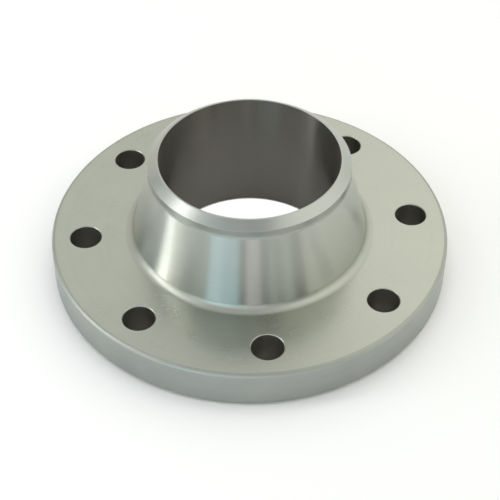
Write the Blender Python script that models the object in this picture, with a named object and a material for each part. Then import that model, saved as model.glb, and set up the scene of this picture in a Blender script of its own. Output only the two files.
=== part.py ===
"""Weld neck pipe flange, DN 100 (NPS 4) Class 150, raised face, bored for Schedule 40 pipe.

The real flange is one forging, machined all over, so the model is one solid.
It stands on its raised face: the origin is the centre of that face, and +Z runs up
the bore axis to the weld end. The bolt holes straddle the X and Y centrelines.
"""

import math

import bmesh
import bpy

MM = 0.001

# Standard sizes, from the metric tables for this flange
FLANGE_DIAMETER = 230.0 * MM
FLANGE_THICKNESS = 22.3 * MM  # without the raised face
RAISED_FACE_DIAMETER = 157.2 * MM
RAISED_FACE_HEIGHT = 1.6 * MM
NECK_DIAMETER = 114.3 * MM
BORE_DIAMETER = 102.26 * MM
OVERALL_HEIGHT = 76.6 * MM
BOLT_CIRCLE_DIAMETER = 190.5 * MM
BOLT_HOLE_DIAMETER = 18.0 * MM
BOLT_HOLE_COUNT = 8

# Weld end, all estimated: a flat root face, the weld bevel, then a short straight neck above the cone
ROOT_FACE_WIDTH = 1.0 * MM
BEVEL_ANGLE = math.radians(39.0)  # from the plane of the root face
STRAIGHT_NECK_HEIGHT = 4.5 * MM

# Hub and machined edges, all estimated
HUB_BASE_DIAMETER = 136.4 * MM  # where the cone would meet the back face
HUB_FILLET_RADIUS = 5.0 * MM
RIM_ROUND_RADIUS = 2.0 * MM
RIM_CHAMFER = 1.0 * MM
BORE_CHAMFER = 0.5 * MM
BOLT_HOLE_CHAMFER = 0.4 * MM

# Facets
TURNED_STEPS = 96
HOLE_STEPS = 32
FILLET_STEPS = 8
ROUND_STEPS = 4
SHARP_ANGLE = math.radians(25.0)  # edges that turn more than this are shaded sharp

BACK_FACE_Z = RAISED_FACE_HEIGHT + FLANGE_THICKNESS
CUTTER_OVERRUN = 5.0 * MM
MERGE_DISTANCE = 0.001 * MM


def arc(centre, radius, start, end, steps):
    """Points (radius, height) along an arc, both ends included, with angles in radians."""
    angles = [start + (end - start) * step / steps for step in range(steps + 1)]
    return [(centre[0] + radius * math.cos(a), centre[1] + radius * math.sin(a)) for a in angles]


def hub_cone():
    """The cone's top (radius, height), and its slope: the radius it gains for each metre down."""
    top_radius = NECK_DIAMETER / 2
    bevel_drop = (top_radius - BORE_DIAMETER / 2 - ROOT_FACE_WIDTH) * math.tan(BEVEL_ANGLE)
    top_z = OVERALL_HEIGHT - bevel_drop - STRAIGHT_NECK_HEIGHT
    slope = (HUB_BASE_DIAMETER / 2 - top_radius) / (top_z - BACK_FACE_Z)
    return (top_radius, top_z), slope


def hub_fillet(slope):
    """The concave arc that joins the back face to the cone, from the face upwards."""
    lean = math.atan(slope)
    tangent_length = HUB_FILLET_RADIUS * math.tan((math.pi / 2 - lean) / 2)
    centre = (HUB_BASE_DIAMETER / 2 + tangent_length, BACK_FACE_Z + HUB_FILLET_RADIUS)
    return arc(centre, HUB_FILLET_RADIUS, 1.5 * math.pi, math.pi + lean, FILLET_STEPS)


def flange_profile():
    """The half section as a closed outline of (radius, height), starting at the raised face."""
    bore = BORE_DIAMETER / 2
    rim = FLANGE_DIAMETER / 2
    raised_face = RAISED_FACE_DIAMETER / 2
    cone_top, slope = hub_cone()
    straight_top = (cone_top[0], cone_top[1] + STRAIGHT_NECK_HEIGHT)
    rim_round = (rim - RIM_ROUND_RADIUS, BACK_FACE_Z - RIM_ROUND_RADIUS)
    return [
        (bore + BORE_CHAMFER, 0.0),
        (raised_face, 0.0),
        (raised_face, RAISED_FACE_HEIGHT),
        (rim - RIM_CHAMFER, RAISED_FACE_HEIGHT),
        (rim, RAISED_FACE_HEIGHT + RIM_CHAMFER),
        *arc(rim_round, RIM_ROUND_RADIUS, 0.0, math.pi / 2, ROUND_STEPS),
        *hub_fillet(slope),
        cone_top,
        straight_top,
        (bore + ROOT_FACE_WIDTH, OVERALL_HEIGHT),
        (bore, OVERALL_HEIGHT),
        (bore, BORE_CHAMFER),
    ]


def bolt_hole_profile():
    """The hole's cutter, a drill with a countersink at each face, from its axis out and back."""
    hole = BOLT_HOLE_DIAMETER / 2
    low = RAISED_FACE_HEIGHT - CUTTER_OVERRUN
    high = BACK_FACE_Z + CUTTER_OVERRUN
    wide = hole + BOLT_HOLE_CHAMFER + CUTTER_OVERRUN
    return [
        (0.0, low),
        (wide, low),
        (hole, RAISED_FACE_HEIGHT + BOLT_HOLE_CHAMFER),
        (hole, BACK_FACE_Z - BOLT_HOLE_CHAMFER),
        (wide, high),
        (0.0, high),
    ]


def turned(profile, steps, closed):
    """A bmesh made by turning an outline of (radius, height) once round the Z axis."""
    shape = bmesh.new()
    points = [shape.verts.new((radius, 0.0, height)) for radius, height in profile]
    pairs = list(zip(points, points[1:]))
    if closed:
        pairs.append((points[-1], points[0]))
    edges = [shape.edges.new(pair) for pair in pairs]
    bmesh.ops.spin(
        shape,
        geom=points + edges,
        cent=(0.0, 0.0, 0.0),
        axis=(0.0, 0.0, 1.0),
        dvec=(0.0, 0.0, 0.0),
        angle=2 * math.pi,
        steps=steps,
        use_merge=True,
    )
    bmesh.ops.remove_doubles(shape, verts=shape.verts, dist=MERGE_DISTANCE)
    bmesh.ops.recalc_face_normals(shape, faces=shape.faces)
    return shape


def add_object(name, shape):
    """Links a new object that holds the bmesh, shaded smooth except at its real edges."""
    mesh = bpy.data.meshes.new(name)
    shape.to_mesh(mesh)
    shape.free()
    mesh.shade_smooth()
    mesh.set_sharp_from_angle(angle=SHARP_ANGLE)
    made = bpy.data.objects.new(name, mesh)
    bpy.context.scene.collection.objects.link(made)
    return made


def bolt_hole_cutters():
    """All the bolt holes as one hidden cutter, straddling the centrelines."""
    shape = turned(bolt_hole_profile(), HOLE_STEPS, closed=False)
    bmesh.ops.translate(shape, verts=shape.verts, vec=(BOLT_CIRCLE_DIAMETER / 2, 0.0, 0.0))
    pitch = 2 * math.pi / BOLT_HOLE_COUNT
    first = shape.verts[:] + shape.edges[:] + shape.faces[:]
    bmesh.ops.spin(
        shape,
        geom=first,
        cent=(0.0, 0.0, 0.0),
        axis=(0.0, 0.0, 1.0),
        dvec=(0.0, 0.0, 0.0),
        angle=2 * math.pi - pitch,
        steps=BOLT_HOLE_COUNT - 1,
        use_duplicate=True,
    )
    cutters = add_object("bolt_hole_cutters", shape)
    cutters.rotation_euler.z = pitch / 2
    cutters.hide_render = True
    cutters.display_type = "WIRE"
    return cutters


def steel():
    """Satin machined steel."""
    material = bpy.data.materials.new("machined_steel")
    material.use_nodes = True
    shader = material.node_tree.nodes["Principled BSDF"]
    shader.inputs["Base Color"].default_value = (0.47, 0.48, 0.44, 1.0)
    shader.inputs["Metallic"].default_value = 1.0
    shader.inputs["Roughness"].default_value = 0.34
    return material


def flange_forging():
    """The whole flange: the turned ring with its bolt holes drilled through."""
    flange = add_object("flange_forging", turned(flange_profile(), TURNED_STEPS, closed=True))
    flange.data.materials.append(steel())
    drilling = flange.modifiers.new("bolt_holes", "BOOLEAN")
    drilling.operation = "DIFFERENCE"
    drilling.solver = "EXACT"
    drilling.object = bolt_hole_cutters()
    return flange


for leftover in list(bpy.data.objects):
    bpy.data.objects.remove(leftover)
flange_forging()
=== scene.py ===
"""The finished look of the weld neck flange: one finely turned steel forging on a pale floor.

The flange is a single piece of metal, so it is one mesh, whose outline is turned round the
bore axis and then drilled. Each machined surface has its own steel, because each was cut in
a different way: the hub and rim along their length, the faces across, the holes by a drill.
The neck, the bore and the bolt holes are also darker than the rest, as painted shade.
"""

import math

import bmesh
import bpy
from mathutils import Matrix, Vector


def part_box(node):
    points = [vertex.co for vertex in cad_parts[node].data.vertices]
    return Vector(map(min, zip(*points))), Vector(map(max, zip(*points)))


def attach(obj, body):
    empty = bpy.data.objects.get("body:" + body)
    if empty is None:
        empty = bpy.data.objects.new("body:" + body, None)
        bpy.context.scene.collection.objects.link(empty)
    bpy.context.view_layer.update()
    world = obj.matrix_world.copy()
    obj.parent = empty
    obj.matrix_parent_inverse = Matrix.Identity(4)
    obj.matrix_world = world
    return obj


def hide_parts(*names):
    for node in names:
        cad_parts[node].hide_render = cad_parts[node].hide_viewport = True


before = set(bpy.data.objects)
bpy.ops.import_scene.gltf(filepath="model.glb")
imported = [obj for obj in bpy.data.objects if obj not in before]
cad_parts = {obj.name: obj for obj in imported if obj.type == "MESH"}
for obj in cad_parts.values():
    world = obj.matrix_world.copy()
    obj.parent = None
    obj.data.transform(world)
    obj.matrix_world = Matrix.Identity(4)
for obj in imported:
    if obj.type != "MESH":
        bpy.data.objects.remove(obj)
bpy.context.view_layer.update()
node_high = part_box("flange_forging")[1]

MM = 0.001

# Sizes taken from the frame
RIM_RADIUS = node_high.x
OVERALL_HEIGHT = node_high.z

# The flange's own sizes
FLANGE_THICKNESS = 22.3 * MM
RAISED_FACE_RADIUS = 78.6 * MM
RAISED_FACE_HEIGHT = 1.6 * MM
HUB_BASE_RADIUS = 68.2 * MM
NECK_RADIUS = 57.15 * MM
BORE_RADIUS = 51.13 * MM
BOLT_CIRCLE_RADIUS = 95.25 * MM
BOLT_HOLE_RADIUS = 9.0 * MM
BOLT_HOLE_COUNT = 8
ROOT_FACE_WIDTH = 1.0 * MM
BEVEL_ANGLE = math.radians(39.0)
STRAIGHT_NECK_HEIGHT = 4.5 * MM

# Machined edges
HUB_FILLET = 5.0 * MM
NECK_BLEND = 10.0 * MM  # where the straight neck runs into the cone
RIM_ROUND = 2.0 * MM
RIM_CHAMFER = 1.0 * MM
BORE_CHAMFER = 0.5 * MM
BOLT_HOLE_CHAMFER = 0.4 * MM
EDGE_BREAK = 0.15 * MM

# Grooves of the gasket face
GROOVE_PITCH = 0.5 * MM
GROOVE_DEPTH = 0.03 * MM
GROOVE_MARGIN = 0.6 * MM

# Mesh fineness
TURNED_STEPS = 384
HOLE_STEPS = 72
ARC_STEP = math.radians(12.0)
FEWEST_ARC_STEPS = 2
DISC_STEPS = 96
SHARP_ANGLE = math.radians(30.0)  # edges that turn more than this are shaded sharp
MERGE_DISTANCE = 0.001 * MM
CUTTER_OVERRUN = 5.0 * MM

BACK_FACE_Z = RAISED_FACE_HEIGHT + FLANGE_THICKNESS

# Each machined surface and its steel, in the terms that machined() explains. The faces turned
# flat are a little warmer than the rest. The neck, the bore and the bolt holes are darker, as
# painted shade.
WARM = (0.505, 0.52, 0.455)
STEELS = {
    "gasket_face": dict(colour=WARM, roughness=(0.30, 0.36), marks=0.5, bump=0.002, anisotropy=0.7),
    "flat_face": dict(colour=WARM, roughness=(0.26, 0.31), marks=0.35, bump=0.0007, anisotropy=0.3),
    "rim": dict(colour=(0.36, 0.38, 0.36), roughness=(0.30, 0.38), marks=0.3, contrast=0.07,
                bump=0.001, anisotropy=0.8, along="height"),
    "rim_round": dict(colour=(0.42, 0.44, 0.40), roughness=(0.46, 0.52), marks=0.3, bump=0.001),
    "fillet": dict(colour=(0.49, 0.51, 0.45), roughness=(0.38, 0.42), marks=0.3, bump=0.001),
    "hub": dict(colour=(0.50, 0.525, 0.48), roughness=(0.30, 0.33), marks=0.3, contrast=0.03,
                bump=0.0005, anisotropy=1.0, along="height"),
    # Darker than the hub, as painted shade along the upright neck
    "neck": dict(colour=(0.42, 0.445, 0.42), roughness=(0.34, 0.38), marks=0.3,
                 bump=0.0005, anisotropy=0.3, along="height"),
    "weld_bevel": dict(colour=(0.51, 0.53, 0.50), roughness=(0.35, 0.39), marks=0.3,
                       bump=0.001, anisotropy=0.5),
    "root_face": dict(colour=(0.50, 0.52, 0.49), roughness=(0.30, 0.34), marks=0.3, bump=0.001),
    # Darker than the outer steel, as painted shade inside the bore
    "bore": dict(colour=(0.295, 0.285, 0.255), roughness=(0.29, 0.33), marks=0.4,
                 bump=0.0005, anisotropy=1.0, along="height"),
    # Darker than the faces, as painted shade inside the holes
    "bolt_hole": dict(colour=(0.26, 0.25, 0.22), roughness=(0.45, 0.60), marks=0.6,
                      bump=0.02, along="height"),
    "edge": dict(colour=WARM, roughness=(0.36, 0.42), marks=0.5, bump=0.001),
}
SURFACES = tuple(STEELS)
BROAD_MARKS = 9.0  # how many times wider than the fine tool marks the broad ones are
BROAD_SHARE = 0.25  # their share in the colour, against soft patches
PATCH_SIZE = 22.0 * MM
MARK_DETAIL = 3.0  # octaves of noise
PATCH_DETAIL = 4.0
NOISE_RANGE = (0.3, 0.7)  # where nearly all the values of a noise lie
QUARTER_TURN = 0.25  # of a whole turn: it stretches highlights across the tool marks

# The room's own even light
WORLD_COLOUR = (0.98, 1.0, 0.99)
WORLD_STRENGTH = 0.62

WHITE = (1.0, 1.0, 1.0)
CREAM = (1.0, 0.99, 0.93)

# Glowing panels that face the flange. Angles are in degrees round and above it, with azimuth -90
# on the camera's side and 0 at its right. Lengths are in metres.
OVERHEAD_BOX = dict(azimuth=90.0, elevation=86.0, width=0.9, height=0.9, distance=1.5, strength=3.0)
SOFT_BOXES = {
    "right_box": dict(azimuth=-20.0, elevation=50.0, width=1.7, height=1.3, distance=1.6,
                      strength=1.15, colour=CREAM),
    "high_right_box": dict(azimuth=32.0, elevation=60.0, width=0.7, height=0.6, distance=1.6,
                           strength=1.1, colour=CREAM),
    "low_right_box": dict(azimuth=16.0, elevation=31.0, width=0.9, height=0.55, distance=1.6,
                          strength=1.25, colour=CREAM),
    # Dimmer than the room behind it
    "front_shade": dict(azimuth=-95.0, elevation=65.0, width=0.9, height=0.5, distance=1.2,
                        strength=0.4),
    "right_back_box": dict(azimuth=66.0, elevation=42.0, width=1.3, height=0.9, distance=1.9,
                           strength=1.15, colour=(1.0, 1.0, 0.94)),
    "left_back_box": dict(azimuth=112.0, elevation=40.0, width=1.2, height=0.9, distance=1.9,
                          strength=0.85, colour=(0.97, 1.0, 0.96)),
    "left_window": dict(azimuth=-171.0, elevation=44.0, width=0.13, height=0.45, distance=0.9,
                        strength=5.0),
    "left_box": dict(azimuth=142.0, elevation=30.0, width=0.6, height=0.35, distance=1.0,
                     strength=0.8),
}

# Upright panels round the flange, close to the table, which its turned surfaces show as streaks
WALL_DISTANCE = 0.9
WALL_HEIGHT = 0.5
WALL_ELEVATION = 14.0
# Azimuth at the start and end of each panel, its strength and its tint
WALL = (
    (-265.0, -210.0, 0.75, (1.0, 0.94, 0.86)),
    (-210.0, -200.0, 0.35, (0.88, 0.98, 1.0)),
    (-200.0, -188.0, 0.85, (0.92, 1.0, 0.98)),
    (-188.0, -176.0, 0.6, (0.88, 0.98, 1.0)),
    (-175.0, -165.0, 5.3, WHITE),
    (-165.0, -152.0, 1.1, (1.0, 0.94, 0.90)),
    (-150.0, -127.0, 0.75, (0.93, 1.0, 0.95)),
    (-126.0, -114.0, 2.25, (0.62, 0.84, 0.98)),
    (-114.0, -99.0, 1.7, (0.58, 0.84, 0.98)),
    (-99.0, -93.0, 0.1, WHITE),
    (-93.0, -81.0, 1.35, (1.0, 0.95, 0.97)),
    (-80.0, -73.0, 0.3, (0.96, 1.0, 0.96)),
    (-73.0, -67.0, 0.75, (0.96, 1.0, 0.96)),
    (-67.0, -61.0, 0.4, (0.96, 1.0, 0.96)),
    (-61.0, -52.0, 0.65, (0.96, 1.0, 0.96)),
    (-52.0, -41.0, 0.0, WHITE),
    (-41.0, 30.0, 0.88, (1.0, 1.0, 0.90)),
    (30.0, 75.0, 0.85, (1.0, 1.0, 0.92)),
)

# The surface of a rounded corner, by its radius; any other corner is an edge
ROUNDINGS = {HUB_FILLET: "fillet", RIM_ROUND: "rim_round", NECK_BLEND: "neck"}

FLOOR_RADIUS = 6.0
FLOOR_GAP = 0.05 * MM
TABLE_DARK = (0.87, 0.87, 0.865)
TABLE_LIGHT = (0.90, 0.90, 0.895)
TABLE_ROUGHNESS = 0.9
TABLE_PATCH_SIZE = 0.4
PAD_RADIUS = BORE_RADIUS - 0.5 * MM
PAD_HEIGHT = 0.02 * MM  # above the floor
PAD_GLOW = 1.0

# Camera and lights turn together about the bore axis
STUDIO_TURN = math.radians(16.7)
CAMERA_TARGET = Vector((0.2, -36.2, 39.1)) * MM
CAMERA_DISTANCE = 730.0 * MM
CAMERA_ELEVATION = math.radians(44.01)
CAMERA_LENS = 94.51  # millimetres, on a 36 mm sensor


# --- Shape ---------------------------------------------------------------------------------


def corner_arc(before, corner, after, radius):
    """The points of the arc that rounds a corner, from the side of before to that of after."""
    to_before = (before - corner).normalized()
    to_after = (after - corner).normalized()
    half = to_before.angle(to_after) / 2
    reach = radius / math.tan(half)
    centre = corner + (to_before + to_after).normalized() * (radius / math.sin(half))
    start = corner + to_before * reach - centre
    turn = (corner + to_after * reach - centre).angle_signed(start)
    steps = max(FEWEST_ARC_STEPS, math.ceil(abs(turn) / ARC_STEP))
    points = []
    for step in range(steps + 1):
        angle = turn * step / steps
        cos, sin = math.cos(angle), math.sin(angle)
        points.append(centre + Vector((start.x * cos - start.y * sin, start.x * sin + start.y * cos)))
    return points


def gasket_grooves():
    """The raised face's concentric grooves, from the bore outwards, as outline corners."""
    start = BORE_RADIUS + BORE_CHAMFER + GROOVE_MARGIN
    count = math.floor((RAISED_FACE_RADIUS - GROOVE_MARGIN - start) / GROOVE_PITCH)
    corners = []
    for groove in range(count):
        radius = start + groove * GROOVE_PITCH
        corners.append((radius, 0.0, 0.0, "gasket_face"))
        corners.append((radius + GROOVE_PITCH / 2, GROOVE_DEPTH, 0.0, "gasket_face"))
    corners.append((start + count * GROOVE_PITCH, 0.0, 0.0, "gasket_face"))
    return corners


def flange_corners():
    """The half section's corners: radius, height, rounding, and the surface that follows."""
    wall = NECK_RADIUS - BORE_RADIUS
    bevel_drop = (wall - ROOT_FACE_WIDTH) * math.tan(BEVEL_ANGLE)
    bevel_foot = OVERALL_HEIGHT - bevel_drop
    return [
        (BORE_RADIUS + BORE_CHAMFER, 0.0, 0.0, "gasket_face"),
        *gasket_grooves(),
        (RAISED_FACE_RADIUS, 0.0, EDGE_BREAK, "flat_face"),
        (RAISED_FACE_RADIUS, RAISED_FACE_HEIGHT, EDGE_BREAK, "flat_face"),
        (RIM_RADIUS - RIM_CHAMFER, RAISED_FACE_HEIGHT, EDGE_BREAK, "edge"),
        (RIM_RADIUS, RAISED_FACE_HEIGHT + RIM_CHAMFER, EDGE_BREAK, "rim"),
        (RIM_RADIUS, BACK_FACE_Z, RIM_ROUND, "flat_face"),
        (HUB_BASE_RADIUS, BACK_FACE_Z, HUB_FILLET, "hub"),
        (NECK_RADIUS, bevel_foot - STRAIGHT_NECK_HEIGHT, NECK_BLEND, "neck"),
        (NECK_RADIUS, bevel_foot, EDGE_BREAK, "weld_bevel"),
        (BORE_RADIUS + ROOT_FACE_WIDTH, OVERALL_HEIGHT, EDGE_BREAK, "root_face"),
        (BORE_RADIUS, OVERALL_HEIGHT, EDGE_BREAK, "bore"),
        (BORE_RADIUS, BORE_CHAMFER, 0.0, "edge"),
    ]


def bolt_hole_corners():
    """Half the bolt hole's cutter: a drill with a countersink at each face, wider beyond them."""
    low = RAISED_FACE_HEIGHT - CUTTER_OVERRUN
    high = BACK_FACE_Z + CUTTER_OVERRUN
    wide = BOLT_HOLE_RADIUS + BOLT_HOLE_CHAMFER + CUTTER_OVERRUN
    return [
        (0.0, low, 0.0, "edge"),
        (wide, low, 0.0, "edge"),
        (BOLT_HOLE_RADIUS, RAISED_FACE_HEIGHT + BOLT_HOLE_CHAMFER, EDGE_BREAK, "bolt_hole"),
        (BOLT_HOLE_RADIUS, BACK_FACE_Z - BOLT_HOLE_CHAMFER, EDGE_BREAK, "edge"),
        (wide, high, 0.0, "edge"),
        (0.0, high, 0.0, "edge"),
    ]


def rounded_outline(corners, closed):
    """The outline with its corners rounded: its points, and the surface after each of them."""
    points, surfaces = [], []
    places = [Vector(corner[:2]) for corner in corners]
    for index, (_, _, radius, surface) in enumerate(corners):
        ends = not closed and index in (0, len(corners) - 1)
        if radius == 0.0 or ends:
            points.append(places[index])
            surfaces.append(surface)
            continue
        before, after = places[index - 1], places[(index + 1) % len(places)]
        arc = corner_arc(before, places[index], after, radius)
        rounding = ROUNDINGS.get(radius, "edge")
        points.extend(arc)
        surfaces.extend([rounding] * (len(arc) - 1) + [surface])
    return points, surfaces


def turned(corners, steps, closed):
    """A bmesh of the outline turned round Z, each face marked with its surface's slot."""
    points, surfaces = rounded_outline(corners, closed)
    shape = bmesh.new()
    rings = []
    for step in range(steps):
        angle = 2 * math.pi * step / steps
        cos, sin = math.cos(angle), math.sin(angle)
        rings.append([shape.verts.new((p.x * cos, p.x * sin, p.y)) for p in points])
    spans = len(points) if closed else len(points) - 1
    for step in range(steps):
        ring, following = rings[step], rings[(step + 1) % steps]
        for index in range(spans):
            other = (index + 1) % len(points)
            face = shape.faces.new((ring[index], following[index], following[other], ring[other]))
            face.material_index = SURFACES.index(surfaces[index])
    bmesh.ops.remove_doubles(shape, verts=shape.verts, dist=MERGE_DISTANCE)
    bmesh.ops.recalc_face_normals(shape, faces=shape.faces)
    return shape


def bolt_hole_cutters():
    """One bmesh of all the cutters, at the angles that straddle the X and Y axes."""
    shape = turned(bolt_hole_corners(), HOLE_STEPS, closed=False)
    bmesh.ops.translate(shape, verts=shape.verts, vec=(BOLT_CIRCLE_RADIUS, 0.0, 0.0))
    pitch = 2 * math.pi / BOLT_HOLE_COUNT
    half_pitch = Matrix.Rotation(pitch / 2, 3, "Z")
    bmesh.ops.rotate(shape, verts=shape.verts, cent=(0.0, 0.0, 0.0), matrix=half_pitch)
    bmesh.ops.spin(
        shape,
        geom=shape.verts[:] + shape.edges[:] + shape.faces[:],
        cent=(0.0, 0.0, 0.0),
        axis=(0.0, 0.0, 1.0),
        dvec=(0.0, 0.0, 0.0),
        angle=2 * math.pi - pitch,
        steps=BOLT_HOLE_COUNT - 1,
        use_duplicate=True,
    )
    return shape


def new_object(name, shape, materials):
    """Links an object that holds the bmesh and has every surface's material."""
    mesh = bpy.data.meshes.new(name)
    shape.to_mesh(mesh)
    shape.free()
    for material in materials:
        mesh.materials.append(material)
    made = bpy.data.objects.new(name, mesh)
    bpy.context.scene.collection.objects.link(made)
    return made


def settle(made):
    """Applies the object's modifiers to its mesh."""
    graph = bpy.context.evaluated_depsgraph_get()
    mesh = bpy.data.meshes.new_from_object(made.evaluated_get(graph))
    made.modifiers.clear()
    made.data = mesh
    return mesh


def merge_doubles(mesh):
    """Joins the points that drilling left almost on top of each other."""
    shape = bmesh.new()
    shape.from_mesh(mesh)
    bmesh.ops.remove_doubles(shape, verts=shape.verts, dist=MERGE_DISTANCE)
    shape.to_mesh(mesh)
    shape.free()


def finished_flange(materials):
    """The whole flange: turned, drilled, and shaded smooth except at its real edges."""
    ring = turned(flange_corners(), TURNED_STEPS, closed=True)
    flange = new_object("weld_neck_flange", ring, materials)
    cutters = new_object("cutters", bolt_hole_cutters(), materials)
    drilling = flange.modifiers.new("bolt_holes", "BOOLEAN")
    drilling.operation = "DIFFERENCE"
    drilling.solver = "EXACT"
    drilling.object = cutters
    mesh = settle(flange)
    bpy.data.objects.remove(cutters)
    merge_doubles(mesh)
    mesh.shade_smooth()
    mesh.set_sharp_from_angle(angle=SHARP_ANGLE)
    weighted = flange.modifiers.new("weighted_normals", "WEIGHTED_NORMAL")
    weighted.keep_sharp = True
    settle(flange)
    return flange


# --- Steel ---------------------------------------------------------------------------------


class Shader:
    """A new material's nodes, and short ways to add and join them."""

    def __init__(self, name):
        self.material = bpy.data.materials.new(name)
        self.material.use_nodes = True
        self.tree = self.material.node_tree
        self.surface = self.tree.nodes["Principled BSDF"]

    def node(self, kind, **settings):
        made = self.tree.nodes.new(kind)
        for key, value in settings.items():
            setattr(made, key, value)
        return made

    def join(self, source, target):
        self.tree.links.new(source, target)

    def maths(self, operation, *values):
        """A Math node fed by sockets or numbers; returns its output."""
        made = self.node("ShaderNodeMath", operation=operation)
        for socket, value in zip(made.inputs, values):
            if isinstance(value, bpy.types.NodeSocket):
                self.join(value, socket)
            else:
                socket.default_value = value
        return made.outputs[0]

    def point(self):
        """The shaded point's coordinates on its object."""
        return self.node("ShaderNodeTexCoord").outputs["Object"]

    def radius_and_height(self, point):
        """The point's distance from the bore axis, and its height."""
        split = self.node("ShaderNodeSeparateXYZ")
        self.join(point, split.inputs[0])
        across = self.maths("MULTIPLY", split.outputs[0], split.outputs[0])
        along = self.maths("MULTIPLY", split.outputs[1], split.outputs[1])
        radius = self.maths("SQRT", self.maths("ADD", across, along))
        return radius, split.outputs[2]

    def marks(self, position, spacing):
        """Noise that varies along one direction only: the marks a tool leaves, side by side."""
        noise = self.node("ShaderNodeTexNoise", noise_dimensions="1D")
        self.join(position, noise.inputs["W"])
        noise.inputs["Scale"].default_value = 1.0 / spacing
        noise.inputs["Detail"].default_value = MARK_DETAIL
        return noise.outputs[0]

    def patches(self, point, size):
        """Soft cloudy noise of about this size."""
        noise = self.node("ShaderNodeTexNoise")
        self.join(point, noise.inputs["Vector"])
        noise.inputs["Scale"].default_value = 1.0 / size
        noise.inputs["Detail"].default_value = PATCH_DETAIL
        return noise.outputs[0]

    def spread(self, value, low, high):
        """Maps a noise's usual range onto low to high."""
        made = self.node("ShaderNodeMapRange")
        self.join(value, made.inputs["Value"])
        made.inputs["From Min"].default_value = NOISE_RANGE[0]
        made.inputs["From Max"].default_value = NOISE_RANGE[1]
        made.inputs["To Min"].default_value = low
        made.inputs["To Max"].default_value = high
        return made.outputs[0]

    def blend(self, factor, first, second):
        """A colour between two, by a factor from 0 to 1."""
        made = self.node("ShaderNodeMix", data_type="RGBA")
        self.join(factor, made.inputs["Factor"])
        made.inputs["A"].default_value = (*first, 1.0)
        made.inputs["B"].default_value = (*second, 1.0)
        return made.outputs["Result"]


def machined(name, colour, roughness, marks, contrast=0.04, bump=0.001, anisotropy=0.0, along="radius"):
    """Steel with the marks of one machining pass.

    colour is the middle of its range and contrast is how far it varies. roughness is its lowest
    and highest. marks is the spacing of the tool marks in millimetres and bump their depth. They
    run round the bore axis, and follow each other along the radius or the height. anisotropy is
    how far they stretch a highlight.
    """
    shader = Shader(name)
    surface = shader.surface
    point = shader.point()
    radius, height = shader.radius_and_height(point)
    position = radius if along == "radius" else height
    fine = shader.marks(position, marks * MM)
    broad = shader.marks(position, marks * BROAD_MARKS * MM)
    cloud = shader.maths("MULTIPLY", shader.patches(point, PATCH_SIZE), 1.0 - BROAD_SHARE)
    mixed = shader.maths("MULTIPLY_ADD", broad, BROAD_SHARE, cloud)
    dark = [channel * (1.0 - contrast) for channel in colour]
    light = [channel * (1.0 + contrast) for channel in colour]
    surface.inputs["Metallic"].default_value = 1.0
    shader.join(shader.blend(shader.spread(mixed, 0.0, 1.0), dark, light), surface.inputs["Base Color"])
    shader.join(shader.spread(mixed, *roughness), surface.inputs["Roughness"])
    relief = shader.node("ShaderNodeBump")
    relief.inputs["Strength"].default_value = 1.0
    relief.inputs["Distance"].default_value = bump * MM
    shader.join(fine, relief.inputs["Height"])
    shader.join(relief.outputs[0], surface.inputs["Normal"])
    if anisotropy:
        surface.inputs["Anisotropic"].default_value = anisotropy
        surface.inputs["Anisotropic Rotation"].default_value = QUARTER_TURN
        tangent = shader.node("ShaderNodeTangent", direction_type="RADIAL", axis="Z")
        shader.join(tangent.outputs[0], surface.inputs["Tangent"])
    return shader.material


def flange_materials():
    """One steel for each surface, in the order of SURFACES."""
    return [machined(name + "_steel", **STEELS[name]) for name in SURFACES]


# --- Studio --------------------------------------------------------------------------------


def in_studio(x, y, z):
    """A point given with the camera on the -Y side, turned into the flange's own frame."""
    cos, sin = math.cos(STUDIO_TURN), math.sin(STUDIO_TURN)
    return Vector((x * cos - y * sin, x * sin + y * cos, z))


def add_camera():
    data = bpy.data.cameras.new("camera")
    data.lens = CAMERA_LENS
    camera = bpy.data.objects.new("camera", data)
    bpy.context.scene.collection.objects.link(camera)
    back = Vector((0.0, -math.cos(CAMERA_ELEVATION), math.sin(CAMERA_ELEVATION)))
    camera.location = in_studio(*(CAMERA_TARGET + back * CAMERA_DISTANCE))
    camera.rotation_euler = (math.pi / 2 - CAMERA_ELEVATION, 0.0, STUDIO_TURN)
    bpy.context.scene.camera = camera


def add_disc(name, radius, height, material):
    """A flat round piece of the stage."""
    shape = bmesh.new()
    bmesh.ops.create_circle(shape, cap_ends=True, radius=radius, segments=DISC_STEPS)
    disc = new_object(name, shape, [material])
    disc.location.z = height
    return disc


def add_floor():
    """A wide pale table, with a glowing pad under the bore that only the camera sees."""
    add_disc("floor", FLOOR_RADIUS, -FLOOR_GAP, table_top())
    pad = add_disc("bore_pad", PAD_RADIUS, PAD_HEIGHT - FLOOR_GAP, glow("bore_pad", PAD_GLOW))
    pad.visible_diffuse = False
    pad.visible_glossy = False
    pad.visible_shadow = False


def table_top():
    """Pale matt paint, very slightly uneven."""
    shader = Shader("table_top")
    cloud = shader.patches(shader.point(), TABLE_PATCH_SIZE)
    shader.join(shader.blend(cloud, TABLE_DARK, TABLE_LIGHT), shader.surface.inputs["Base Color"])
    shader.surface.inputs["Roughness"].default_value = TABLE_ROUGHNESS
    return shader.material


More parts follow.
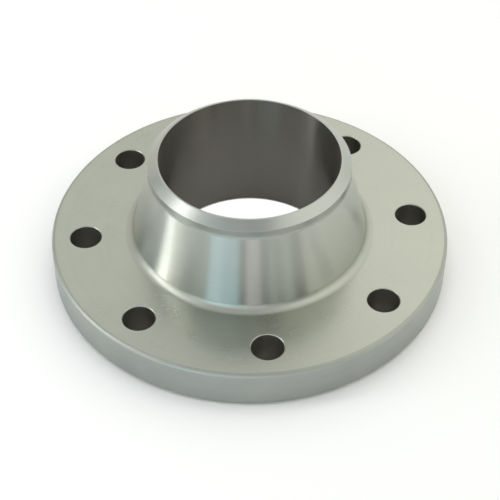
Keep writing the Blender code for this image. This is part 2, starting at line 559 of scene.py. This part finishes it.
def glow(name, strength, colour=WHITE):
    """A material that only gives off light."""
    material = bpy.data.materials.new(name)
    material.use_nodes = True
    nodes = material.node_tree.nodes
    nodes.remove(nodes["Principled BSDF"])
    light = nodes.new("ShaderNodeEmission")
    light.inputs["Color"].default_value = (*colour, 1.0)
    light.inputs["Strength"].default_value = strength
    material.node_tree.links.new(light.outputs[0], nodes["Material Output"].inputs["Surface"])
    return material


def add_panel(name, azimuth, elevation, width, height, distance, strength, colour=WHITE):
    """A glowing panel that faces the flange and that the camera doesn't see."""
    shape = bmesh.new()
    bmesh.ops.create_grid(shape, x_segments=1, y_segments=1, size=0.5)
    panel = new_object(name, shape, [glow(name, strength, colour)])
    a, e = math.radians(azimuth), math.radians(elevation)
    away = in_studio(math.cos(a) * math.cos(e), math.sin(a) * math.cos(e), math.sin(e))
    panel.location = away * distance
    panel.rotation_mode = "QUATERNION"
    panel.rotation_quaternion = away.to_track_quat("Z", "Y")
    panel.scale = (width, height, 1.0)
    panel.visible_camera = False
    panel.visible_shadow = False
    return panel


def add_wall():
    """The upright panels, each as wide as the angle it fills."""
    for index, (start, end, strength, colour) in enumerate(WALL):
        add_panel(
            "wall_%d" % index,
            azimuth=(start + end) / 2,
            elevation=WALL_ELEVATION,
            width=2 * WALL_DISTANCE * math.tan(math.radians(end - start) / 2),
            height=WALL_HEIGHT,
            distance=WALL_DISTANCE,
            strength=strength,
            colour=colour,
        )


def add_lights():
    """The room's even light, and all the panels."""
    world = bpy.data.worlds.new("studio")
    bpy.context.scene.world = world
    world.use_nodes = True
    background = world.node_tree.nodes["Background"]
    background.inputs["Color"].default_value = (*WORLD_COLOUR, 1.0)
    background.inputs["Strength"].default_value = WORLD_STRENGTH
    overhead = add_panel("overhead_box", **OVERHEAD_BOX)
    overhead.visible_glossy = False
    for name, box in SOFT_BOXES.items():
        add_panel(name, **box)
    add_wall()


bpy.context.scene.view_settings.view_transform = "Standard"
add_camera()
add_lights()
add_floor()
flange = finished_flange(flange_materials())
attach(flange, "root")
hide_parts("flange_forging")
